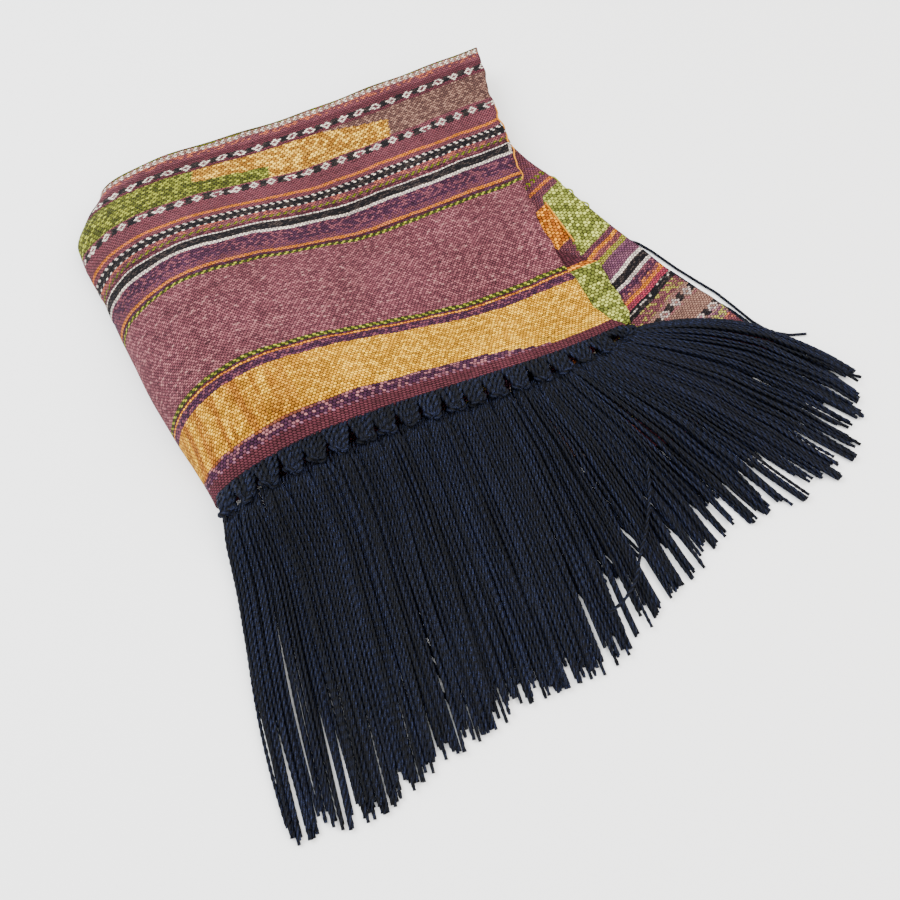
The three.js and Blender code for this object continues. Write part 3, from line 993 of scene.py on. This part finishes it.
# Cords leave their tassel's knot close together and spread out from there
def upperCords(setup):
    cords, heads = [], []
    vary = cordSpread
    usual, reachSpread = vary["reach"]
    rarely, shorter = vary["shorter"]
    pitch = (hemLength - 8) / setup["tassels"]
    for k in range(setup["tassels"]):
        centre = 2 + pitch * (k + 0.5) + random.normal(0, vary["headShift"])
        sway = random.normal(0, vary["tasselSway"])
        fanU = fanAt(centre)
        heads += tasselHead(centre, fanU, pitch, setup)
        many = setup["cordsEachInFan"] if fanU > setup["fanFrom"] else setup["cordsEach"]
        many += setup["cordsMoreAtEnd"][k] if k < len(setup["cordsMoreAtEnd"]) else 0
        locks = setup["locksEach"]
        lockReach = random.normal(0, vary["lockReach"], locks)
        lockSway = random.normal(0, vary["lockSway"], locks)
        for j in range(many):
            offset = (j + 0.5) / many - 0.5 + random.normal(0, vary["offset"])
            lock = j * locks // many
            gathered = mix(offset, (lock + 0.5) / locks - 0.5, random.uniform(*vary["gathered"]))
            reach = usual + lockReach[lock] + random.normal(0, reachSpread)
            reach = min(vary["longest"], reach) - shorter * (random.random() < rarely)
            phase, wave = random.uniform(0, 6.28), random.normal(0, vary["wave"])
            points = []
            for s in np.linspace(0.045, 1, 30) * reach:
                spread = mix(0.6 if j % 3 else 0.98, 1.08, smooth((s - 0.04) / 0.1))
                along = centre + mix(offset, gathered, smooth((s - 0.5) / 0.5)) * pitch * spread
                here = fanAt(along)
                u, v = fanPlace(here, s)
                rootU, rootZ = onHem(np.clip(along, 0, hemLength))
                u += (rootU - here) * (1 - smooth(s / 0.35))
                drift = smooth(s) * (sway + wave * math.sin(4.2 * s + phase))
                drift += lockSway[lock] * smooth((s - 0.4) / 0.6)
                points.append([u + drift, v + 0.3 * drift, rootZ])
            cords.append((np.array(points), j % 3 + random.uniform(-0.2, 0.2)))
    return cords, heads


def knotLine(centre, size, turn, sideways):
    t = np.linspace(0, 2 * math.pi, 40)
    x = np.sin(t) + 2 * np.sin(2 * t)
    y = np.cos(t) - 2 * np.cos(2 * t)
    z = -np.sin(3 * t)
    cosTurn, sinTurn = math.cos(turn), math.sin(turn)
    across = (x * cosTurn - y * sinTurn) * size * sideways
    ahead = (x * sinTurn + y * cosTurn) * size
    return np.stack([centre[0] + across, centre[1] + ahead, centre[2] + z * size * 1.2], axis=1)


# Six yarns from the hem run together into a knot
def tasselHead(centre, fanU, pitch, setup):
    rootU, rootZ = onHem(centre)
    near, far = fanPlace(fanU, 0.0), fanPlace(fanU, 0.08)
    way = (far - near) / np.linalg.norm(far - near)
    place = np.array([rootU, -1.0]) + way * setup["knotAt"]
    fall = setup["steepest"] * 5
    knot = np.array([place[0], place[1], max(rootZ - fall + 1.2, 4.0)])
    lines = [knotLine(knot, setup["knotSize"], random.uniform(0, 6.28), 1.35)]
    for share, lift in headSetup["yarns"]:
        along = np.clip(centre + share * pitch + random.normal(0, 0.3), 0, hemLength)
        u, z = onHem(along)
        side = -5.5 * share
        start = np.array([u, 1.6, z + 1.2])
        over = np.array([u, -0.6, z + 1.4 + lift])
        down = mix(over, knot, 0.55) + np.array([side, 0, 0.8 + lift])
        lines.append(np.array([start, over, down, knot + np.array([side, -2.5, -0.3])]))
    return [bent(line, 14) for line in lines]


def bent(line, count):
    if len(line) > 8:
        return line
    run = runTo(np.linalg.norm(np.diff(line, axis=0), axis=1), 0)
    fine = np.linspace(0, run[-1], count)
    points = np.stack([np.interp(fine, run, line[:, k]) for k in range(3)], axis=1)
    for _ in range(3):
        points[1:-1] = (points[:-2] + 2 * points[1:-1] + points[2:]) / 4
    return points


def settle(points, layer, floorOf):
    radius = cordSetup["radius"]
    u, v = points[:, 0], points[:, 1]
    ground = supportUnder(u, v, floorOf(u, v)) + radius
    run = runTo(np.hypot(np.diff(u), np.diff(v)), 0)
    fall = points[0, 2] - 1.2 - cordSetup["steepest"] * run
    z = np.maximum(ground, fall)
    kernel = np.array([1, 2, 3, 2, 1]) / 9
    for _ in range(3):
        padded = np.concatenate([[z[0]] * 2, z, [z[-1]] * 2])
        z = np.maximum(np.convolve(padded, kernel, "valid"), ground)
    share = run / run[-1]
    z += (layer + 0.3) * 1.6 * (1 - 0.5 * smooth((share - 0.5) / 0.5)) * smooth(share / 0.1 + 0.2)
    return np.stack([u, v, z], axis=1)


def upperFloor(u, v):
    first = underLine(underCord["firstShare"])
    inFringe = smooth((u - first[0] + 12) / 14) * smooth((v + 168 - 0.21 * (u - first[0])) / 10)
    return 2.6 * inFringe


def underLine(share):
    v = clothShape["underHemRise"] * share
    u, _ = sectionPoint("under", share, v, 0.0, 0.0)
    return np.array([float(u), v])


def underCords(setup):
    cords = []
    shares = np.linspace(underCord["firstShare"], underCord["lastShare"], setup["underTassels"])
    pitch = shares[1] - shares[0]
    clumped, clumpSpread = underCord["clump"]
    stretched, stretchSpread = underCord["stretch"]
    for share in shares:
        sway = random.normal(0, underCord["sway"])
        for j in range(setup["underCordsEach"]):
            offset = ((j + 0.5) / setup["underCordsEach"] - 0.5) * pitch
            clump = clumped + random.normal(0, clumpSpread)
            length = underCord["length"] * (stretched + random.normal(0, stretchSpread))
            phase, wave = random.uniform(0, 6.28), random.normal(0, underCord["wave"])
            points = []
            for s in np.linspace(0, 1, 26):
                spread = mix(0.4, 1.05, smooth(s / 0.16)) * mix(1, clump, smooth((s - 0.5) / 0.5))
                here = min(1.0, share + offset * spread)
                u, v = underLine(here)
                lean = track(underFan, "share", "leanU", here)
                run = length * s
                drift = smooth(s) * (sway + wave * math.sin(4.5 * s + phase))
                lift = 1.5 * (j % 2) * smooth(s * 8) * (1 - 0.5 * smooth(s * 2 - 1))
                points.append([u + lean * run + drift, v - 2 - math.sqrt(1 - lean * lean) * run,
                               setup["radius"] + lift])
            cords.append(np.array(points))
    return cords


looseStrands = (
    ((303, 76), (312, 69), (319, 62), (323.5, 52), (330, 32), (336, 17), (342, 3), (346, -13),
     (349, -26), (354, -38), (364, -46), (374, -50)),
    ((303, 70), (315, 55), (325.9, 29.3), (330.8, 15.9), (336.5, -0.9), (342.6, -13.7),
     (347.4, -29.7), (354, -45.2), (364, -60), (376, -70)),
    ((304, 72), (318, 42), (330, 10), (339, -16), (349, -42), (362, -70), (384, -92)),
)
# Lies on top of the fringe
strayStrand = ((232, -84), (222, -103), (208, -122), (194, -136), (188, -144), (180, -150),
               (171, -154), (163, -155))


def makeCords(name, cords, material, setup):
    data = bpy.data.curves.new(name, "CURVE")
    data.dimensions = "3D"
    for points in cords:
        spline = data.splines.new("POLY")
        spline.points.add(len(points) - 1)
        flat = np.concatenate([toMetres(points), np.ones((len(points), 1))], axis=1)
        spline.points.foreach_set("co", flat.ravel())
    thing = placed(name, data)
    modifier = thing.modifiers.new("twist", "NODES")
    modifier.node_group = cordTree
    values = {"Radius": setup["radius"] * mm, "Step": setup["step"] * mm,
              "Turn": 2 * math.pi / (setup["turnLength"] * mm), "Material": material}
    return applied(thing, modifier, values)


# Sets a tree's inputs, then turns the result into a plain mesh with no modifier
def applied(thing, modifier, values):
    for item in modifier.node_group.interface.items_tree:
        if item.item_type == "SOCKET" and item.in_out == "INPUT" and item.name in values:
            modifier[item.identifier] = values[item.name]
    bpy.context.view_layer.update()
    ready = thing.evaluated_get(bpy.context.evaluated_depsgraph_get())
    mesh = bpy.data.meshes.new_from_object(ready)
    name = thing.name
    bpy.data.objects.remove(thing)
    mesh.name = name
    mesh.shade_smooth()
    return placed(name, mesh)


def geometryTree(name, inputs):
    tree = bpy.data.node_groups.new(name, "GeometryNodeTree")
    tree.interface.new_socket("Geometry", in_out="INPUT", socket_type="NodeSocketGeometry")
    for label, kind in inputs:
        tree.interface.new_socket(label, in_out="INPUT", socket_type=kind)
    tree.interface.new_socket("Geometry", in_out="OUTPUT", socket_type="NodeSocketGeometry")
    given, out = addNode(tree, "NodeGroupInput"), addNode(tree, "NodeGroupOutput")
    return tree, given.outputs, out.inputs


def stored(tree, geometry, name, value):
    return wired(tree, "GeometryNodeStoreNamedAttribute",
                 {"Geometry": geometry, "Name": name, "Value": value},
                 data_type="FLOAT", domain="POINT").outputs[0]


def randomOf(tree, line, seed, top=1.0):
    return wired(tree, "FunctionNodeRandomValue", {3: top, "Seed": seed, "ID": line},
                 data_type="FLOAT").outputs[1]


# A waisted section of two plies, with each one's side stored as ply
def plySection(tree, radius):
    circle = wired(tree, "GeometryNodeCurvePrimitiveCircle",
                   {"Resolution": cordSetup["sides"], "Radius": radius}, mode="RADIUS")
    where = addNode(tree, "GeometryNodeInputPosition").outputs[0]
    x, y, _ = wired(tree, "ShaderNodeSeparateXYZ", {0: where}).outputs
    far = calc(tree, "DIVIDE", calc(tree, "ABSOLUTE", x), radius)
    waist = calc(tree, "MULTIPLY_ADD", far, 0.3, 0.6)
    shaped = wired(tree, "ShaderNodeCombineXYZ", {0: x, 1: times(tree, y, waist)})
    move = wired(tree, "GeometryNodeSetPosition",
                 {"Geometry": circle.outputs[0], "Position": shaped.outputs[0]})
    return stored(tree, move.outputs[0], "ply", calc(tree, "DIVIDE", x, radius))


# Two plies twisted round each other: the section turns along each cord from its own start
def makeCordTree():
    tree, given, out = geometryTree("twistedCord", (
        ("Radius", "NodeSocketFloat"), ("Step", "NodeSocketFloat"),
        ("Turn", "NodeSocketFloat"), ("Material", "NodeSocketMaterial")))
    resample = wired(tree, "GeometryNodeResampleCurve",
                     {"Curve": given["Geometry"], "Length": given["Step"]}, mode="LENGTH")
    along = addNode(tree, "GeometryNodeSplineParameter").outputs["Length"]
    index = addNode(tree, "GeometryNodeInputIndex").outputs[0]
    line = wired(tree, "GeometryNodeCurveOfPoint", {0: index}).outputs["Curve Index"]
    start = randomOf(tree, line, 5, top=2 * math.pi)
    turned = calc(tree, "MULTIPLY_ADD", along, given["Turn"], start)
    tilt = wired(tree, "GeometryNodeSetCurveTilt",
                 {"Curve": resample.outputs[0], "Tilt": turned})
    toned = stored(tree, tilt.outputs[0], "cordTone", randomOf(tree, line, 9))
    section = plySection(tree, given["Radius"])
    sweep = wired(tree, "GeometryNodeCurveToMesh",
                  {"Curve": toned, "Profile Curve": section, "Fill Caps": True})
    real = wired(tree, "GeometryNodeRealizeInstances", {0: sweep.outputs[0]})
    dressed = wired(tree, "GeometryNodeSetMaterial",
                    {"Geometry": real.outputs[0], "Material": given["Material"]})
    plug(tree, out[0], dressed.outputs[0])
    return tree


cordTree = makeCordTree()


cordLook = {
    # painted shade in the grooves between the two plies
    "gap": (2, 2, 3),
    "dark": (3, 4, 8),
    "light": (6, 8, 17),
    # painted highlight: the colour of light glints on the ply lobes
    "paintedGlint": (44, 52, 82),
    "ownLow": (0.55, 0.55, 0.5),
    "ownHigh": (1.6, 1.65, 1.9),
}


def cordMaterial(look):
    material, tree, shader = newMaterial("navyCord")
    spot = addNode(tree, "ShaderNodeTexCoord").outputs["Object"]
    patches = noiseAt(tree, spot, 90.0, 3.0)
    fibres = noiseAt(tree, spot, 2600.0, 2.0, 0.6)
    ply = attribute(tree, "ply")["Fac"]
    lobe = between(tree, calc(tree, "ABSOLUTE", ply), 0.05, 0.75)
    colour = blendColour(tree, between(tree, patches, 0.35, 0.7),
                         linear(*look["dark"]), linear(*look["light"]))
    # Painted highlight: light glints on fibres along the ply lobes
    paintedGlint = times(tree, between(tree, fibres, 0.5, 0.72, 0.7), lobe)
    colour = blendColour(tree, paintedGlint, colour, linear(*look["paintedGlint"]))
    own = attribute(tree, "cordTone")["Fac"]
    colour = tinted(tree, colour, own, look["ownLow"], look["ownHigh"])
    # Painted shade: the grooves between the plies turn near black
    colour = blendColour(tree, lobe, linear(*look["gap"]), colour)
    dress(tree, shader, colour, 0.6, 0.09)
    addBump(tree, shader, calc(tree, "MULTIPLY_ADD", fibres, 0.3, lobe), 0.8, 0.6 * mm)
    return material


navyCord = cordMaterial(cordLook)


def inParts(name, lines, count):
    share = math.ceil(len(lines) / count)
    return [makeCords(f"{name}{k + 1}", lines[k * share:(k + 1) * share], navyCord, cordSetup)
            for k in range(count)]


def laidAt(strand, z, count):
    return bent(np.array([(u, v, z) for u, v in strand]), count)


cords, heads = upperCords(cordSetup)
settled = [settle(points, layer, upperFloor) for points, layer in cords]
settled.append(laidAt(strayStrand, 9.0, 40))
fringeUpper = inParts("fringeUpper", settled, 4)
fringeUpper.append(makeCords("fringeKnots", heads, navyCord, headSetup))
below = underCords(cordSetup)
below += [laidAt(strand, cordSetup["radius"] + 0.1, 50) for strand in looseStrands]
fringeUnder = inParts("fringeUnder", below, 2)

print("stage: loose yarns at the selvedges")
edgeYarns = {
    "radius": 0.75,
    "step": 1.2,
    "turnLength": 4,
    "upperEdge": (206, 128),
    "underEdge": (138, 92),
    "border": (84, 119),
    "gold": (190, 122, 30),
    "green": (128, 134, 40),
}


def yarnMaterial(name, colour):
    material, tree, shader = newMaterial(name)
    spot = addNode(tree, "ShaderNodeTexCoord").outputs["Object"]
    tone = noiseAt(tree, spot, 900.0)
    colour = tinted(tree, linear(*colour), tone, (0.6, 0.6, 0.6), (1.3, 1.3, 1.3))
    dress(tree, shader, colour, 0.85, 0.1)
    return material


def edgeLines(setup):
    pitch, half = clothShape["pitch"], clothShape["thickness"] / 2
    v = np.linspace(*setup["upperEdge"], 60)
    u, z = sectionPoint("upper", 0.0, v, 0.0, -half)
    wave = np.sin(v / 3.4) + 0.6 * np.sin(v / 1.9 + 1)
    upper = np.stack([u + 0.2 + 0.8 * wave, v, z - 0.4 - 0.4 * wave], axis=1)
    v = np.linspace(*setup["underEdge"], 50)
    u, z = sectionPoint("under", 1.0, v, 3 * pitch, half)
    wave = np.sin(v / 2.2) + 0.5 * np.sin(v / 1.3 + 1)
    under = np.stack([u + 0.3 + 0.9 * wave, v, z - 0.4 + 0.3 * wave], axis=1)
    t = np.linspace(*setup["border"], 24)
    turn = math.radians(underPattern["turn"])
    ahead = t - underPattern["at"]
    b = underPattern["borderSlope"] * ahead + underPattern["border"]
    border = np.stack([underPattern["u"] + b * math.cos(turn) + ahead * math.sin(turn),
                       underPattern["v"] + b * math.sin(turn) - ahead * math.cos(turn),
                       np.full(len(t), z.max() + 0.5)], axis=1)
    return upper, under, border


upperLine, underLineYarn, borderLine = edgeLines(edgeYarns)
goldYarn = yarnMaterial("goldYarn", edgeYarns["gold"])
greenYarn = yarnMaterial("greenYarn", edgeYarns["green"])
edgeGold = makeCords("edgeYarnGold", [upperLine, borderLine], goldYarn, edgeYarns)
edgeGreen = makeCords("edgeYarnGreen", [underLineYarn], greenYarn, edgeYarns)

print("stage: declarations")
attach(runnerCloth, root)
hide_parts("runner_cloth")
for piece in fringeUpper:
    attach(piece, root)
    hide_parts("fringe_upper")
for piece in fringeUnder:
    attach(piece, root)
    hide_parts("fringe_under")
for piece in (edgeGold, edgeGreen):
    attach(piece, root)
    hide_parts("runner_cloth")
